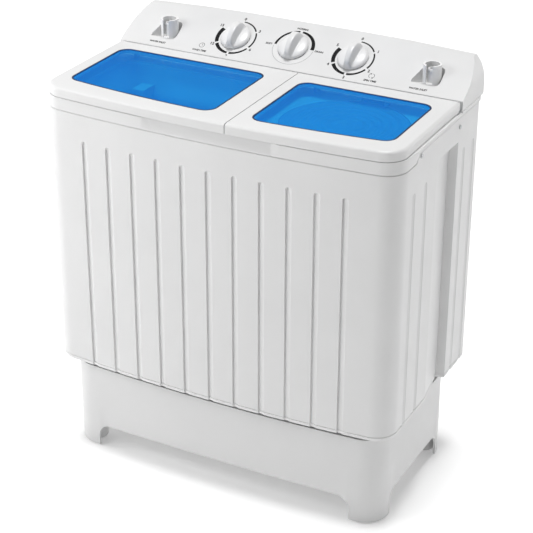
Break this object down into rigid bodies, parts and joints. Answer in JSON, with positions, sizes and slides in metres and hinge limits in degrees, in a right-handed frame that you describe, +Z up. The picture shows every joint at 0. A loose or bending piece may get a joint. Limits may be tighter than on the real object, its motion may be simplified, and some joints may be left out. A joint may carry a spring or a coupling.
{
  "type": "twin tub washer",
  "caption": "Free-standing twin tub washing machine: wash tub and spin basket side by side under two windowed lids, with a sloped console of three knobs at the back.",
  "frame": {"origin": "middle of the footprint, on the floor", "axes": "+Z up, -Y towards the front where the user stands, +X towards the user's right (spin side)"},
  "size_m": [0.69, 0.392, 0.7978],
  "materials": {
    "white_plastic": "moulded, satin gloss",
    "base_plastic": "moulded, fine texture",
    "knob_plastic": "moulded, satin gloss",
    "blue_window": "clear tinted, polished",
    "tub_plastic": "moulded, smooth",
    "inner_lid_plastic": "moulded, smooth",
    "grey_plastic": "moulded",
    "steel": "zinc plated",
    "cast_aluminium": "as cast",
    "bronze": "sintered",
    "black_rubber": "matt"
  },
  "bodies": {
    "root": {"cabinet_shell": "white_plastic", "rear_cover": "base_plastic", "cabinet_screws": "steel", "cord_gland": "black_rubber", "base_plinth": "base_plastic", "foot_pads": "black_rubber", "top_frame": "white_plastic", "wash_tub": "tub_plastic", "overflow_cover": "tub_plastic", "lint_filter": "tub_plastic", "pulsator_seal": "black_rubber", "gearbox_housing": "cast_aluminium", "gearbox_bolts": "steel", "shaft_bushes": "bronze", "drive_belt": "black_rubber", "wash_motor": "cast_aluminium", "wash_motor_bracket": "steel", "drain_valve_body": "grey_plastic", "drain_pipe": "grey_plastic", "drain_outlet": "grey_plastic", "spin_drain_pipe": "grey_plastic", "spin_housing": "tub_plastic", "spin_bellows": "black_rubber", "brake_pin": "steel", "spin_motor": "cast_aluminium", "spin_motor_plate": "steel", "spring_mounts": "black_rubber", "console_shell": "white_plastic", "inlet_holder_left": "white_plastic", "inlet_holder_right": "white_plastic", "inlet_ducts": "grey_plastic", "wash_timer": "grey_plastic", "selector_switch": "grey_plastic", "spin_timer": "grey_plastic", "capacitor": "cast_aluminium", "lid_switch": "grey_plastic"},
    "wash_lid": {"wash_lid_frame": "white_plastic", "wash_lid_window": "blue_window"},
    "spin_lid": {"spin_lid_frame": "white_plastic", "spin_lid_window": "blue_window"},
    "spin_inner_lid": {"spin_inner_lid": "inner_lid_plastic"},
    "wash_timer_knob": {"wash_timer_knob": "knob_plastic", "wash_timer_spindle": "steel"},
    "selector_knob": {"selector_knob": "knob_plastic", "selector_spindle": "steel"},
    "spin_timer_knob": {"spin_timer_knob": "knob_plastic", "spin_timer_spindle": "steel"},
    "pulsator": {"pulsator": "tub_plastic", "pulsator_screw": "steel", "pulsator_shaft": "steel", "wash_pulley": "grey_plastic"},
    "wash_motor_rotor": {"wash_motor_rotor": "steel", "motor_pulley": "steel"},
    "spin_basket": {"spin_basket": "tub_plastic", "basket_ring": "tub_plastic", "spin_shaft": "steel", "brake_drum": "steel", "spin_motor_rotor": "steel"},
    "brake_arm": {"brake_arm": "steel"},
    "drain_valve_plunger": {"drain_valve_plunger": "black_rubber"}
  },
  "joints": [
    {"name": "wash_lid_hinge", "type": "hinge", "parent": "root", "child": "wash_lid", "pos_m": [-0.155, 0.072, 0.728], "axis": [-1, 0, 0], "range_deg": [0, 95]},
    {"name": "spin_lid_hinge", "type": "hinge", "parent": "root", "child": "spin_lid", "pos_m": [0.188, 0.072, 0.728], "axis": [-1, 0, 0], "range_deg": [0, 95]},
    {"name": "inner_lid_hinge", "type": "hinge", "parent": "root", "child": "spin_inner_lid", "pos_m": [0.188, 0.0605, 0.717], "axis": [-1, 0, 0], "range_deg": [0, 80]},
    {"name": "wash_timer_turn", "type": "hinge", "parent": "root", "child": "wash_timer_knob", "pos_m": [-0.121, 0.1295, 0.76367], "axis": [0, 0.5083, -0.8612], "range_deg": [0, 300]},
    {"name": "selector_turn", "type": "hinge", "parent": "root", "child": "selector_knob", "pos_m": [-0.0025, 0.1295, 0.76367], "axis": [0, 0.5083, -0.8612], "range_deg": [-90, 90]},
    {"name": "spin_timer_turn", "type": "hinge", "parent": "root", "child": "spin_timer_knob", "pos_m": [0.116, 0.1295, 0.76367], "axis": [0, 0.5083, -0.8612], "range_deg": [0, 300]},
    {"name": "pulsator_spin", "type": "hinge", "parent": "root", "child": "pulsator", "pos_m": [-0.155, -0.052, 0.308], "axis": [0, 0, 1], "continuous": true},
    {"name": "wash_motor_spin", "type": "hinge", "parent": "root", "child": "wash_motor_rotor", "pos_m": [-0.012, -0.052, 0.206], "axis": [0, 0, 1], "continuous": true},
    {"name": "basket_spin", "type": "hinge", "parent": "root", "child": "spin_basket", "pos_m": [0.188, -0.058, 0.366], "axis": [0, 0, 1], "continuous": true},
    {"name": "brake_swing", "type": "hinge", "parent": "root", "child": "brake_arm", "pos_m": [0.117, -0.058, 0.24], "axis": [0, 0, -1], "range_deg": [0, 2.6]},
    {"name": "drain_valve_lift", "type": "slide", "parent": "root", "child": "drain_valve_plunger", "axis": [0, 0, 1], "range_m": [0, 0.012]}
  ],
  "couplings": [
    {"joint": "inner_lid_hinge", "follows": "spin_lid_hinge", "ratio": 0.8},
    {"joint": "brake_swing", "follows": "spin_lid_hinge", "ratio": 0.026},
    {"joint": "wash_motor_spin", "follows": "pulsator_spin", "ratio": 3.5}
  ]
}
